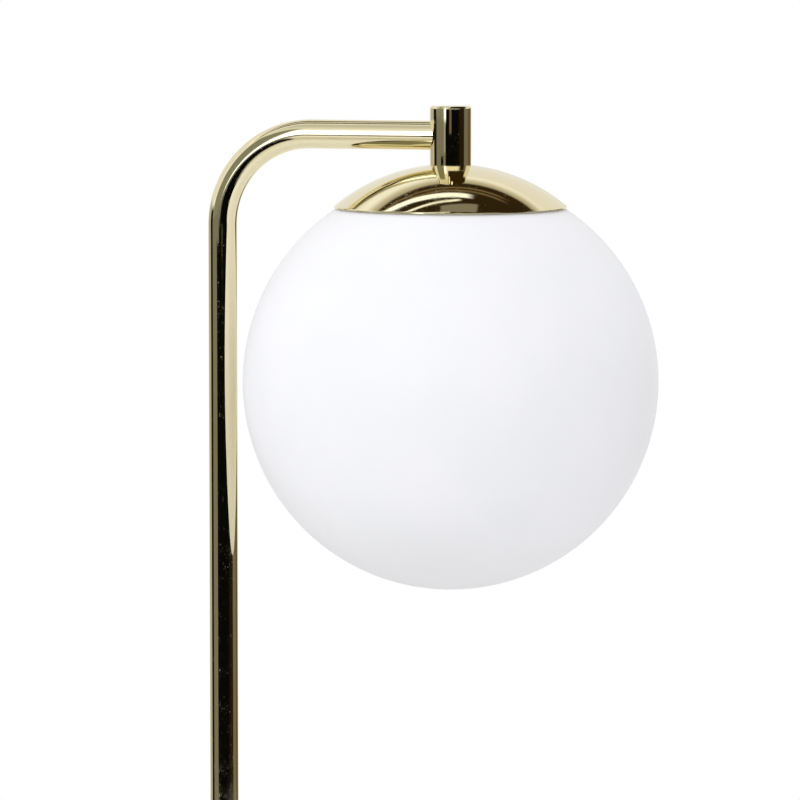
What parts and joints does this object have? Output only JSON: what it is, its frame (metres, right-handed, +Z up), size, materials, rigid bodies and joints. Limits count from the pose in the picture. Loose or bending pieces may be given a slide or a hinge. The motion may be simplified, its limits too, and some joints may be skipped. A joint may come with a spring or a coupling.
{
  "type": "table lamp",
  "caption": "Table lamp: an opal glass ball under a shallow brass dome, hung from a bent round tube that stands on a flat round weighted base.",
  "frame": {"origin": "centre of the flat underside of the base, on the surface that the lamp stands on", "axes": "+Z up, +X from the upright of the tube towards the axis of the globe, +Y away from the side that the picture shows"},
  "size_m": [0.2484, 0.2, 0.5],
  "materials": {
    "polished_brass": "bright polished, pale gold",
    "cast_iron": "raw casting, painted",
    "pad_rubber": "matt",
    "bush_plastic": "satin",
    "white_ceramic": "unglazed",
    "screw_brass": "turned",
    "zinc_steel": "zinc plated",
    "spring_steel": "tempered",
    "seal_silicone": "translucent",
    "opal_glass": "satin opal white",
    "holder_plastic": "white",
    "bulb_nickel": "rolled sheet",
    "bulb_black": "black insulator",
    "bulb_plastic": "white",
    "bulb_opal": "opal",
    "wire_brown": "insulation",
    "wire_blue": "insulation"
  },
  "bodies": {
    "lamp": {"base_cover": "polished_brass", "stem_tube": "polished_brass", "head_block": "polished_brass", "head_plug": "polished_brass", "dome_cap": "polished_brass", "base_weight": "cast_iron", "base_pad": "pad_rubber", "cord_bush": "bush_plastic", "terminal_block": "white_ceramic", "lampholder_core": "white_ceramic", "terminal_screws": "screw_brass", "lampholder_screws": "screw_brass", "screw_contact": "screw_brass", "centre_contact": "screw_brass", "stem_tail": "screw_brass", "head_nipple": "screw_brass", "stem_washer": "zinc_steel", "stem_lock_washer": "zinc_steel", "stem_nut": "zinc_steel", "dome_washer": "zinc_steel", "dome_nut": "zinc_steel", "clip_carrier": "zinc_steel", "clip_rivets": "zinc_steel", "spring_clip_left": "spring_steel", "spring_clip_front": "spring_steel", "spring_clip_back": "spring_steel", "globe_seal": "seal_silicone", "lampholder_cap": "holder_plastic", "lampholder_shell": "holder_plastic", "wire_live": "wire_brown", "wire_neutral": "wire_blue"},
    "globe": {"globe": "opal_glass"},
    "bulb_tip": {"bulb_tip_contact": "bulb_nickel"},
    "bulb": {"bulb_glass": "bulb_opal", "bulb_housing": "bulb_plastic", "bulb_screw_cap": "bulb_nickel", "bulb_insulator": "bulb_black"}
  },
  "joints": [
    {"name": "globe_lower", "type": "slide", "parent": "lamp", "child": "globe", "axis": [0, 0, 1], "range_m": [-0.13, 0], "deforming": ["spring_clip_left", "spring_clip_front", "spring_clip_back"]},
    {"name": "bulb_back_out", "type": "slide", "parent": "lamp", "child": "bulb_tip", "axis": [0, 0, 1], "range_m": [-0.01088, 0]},
    {"name": "bulb_unscrew", "type": "hinge", "parent": "bulb_tip", "child": "bulb", "pos_m": [0.057, 0, 0.4], "axis": [0, 0, 1], "range_deg": [-1080, 0]}
  ],
  "couplings": [
    {"joint": "bulb_unscrew", "follows": "bulb_back_out", "rad_per_m": 1731.4}
  ]
}
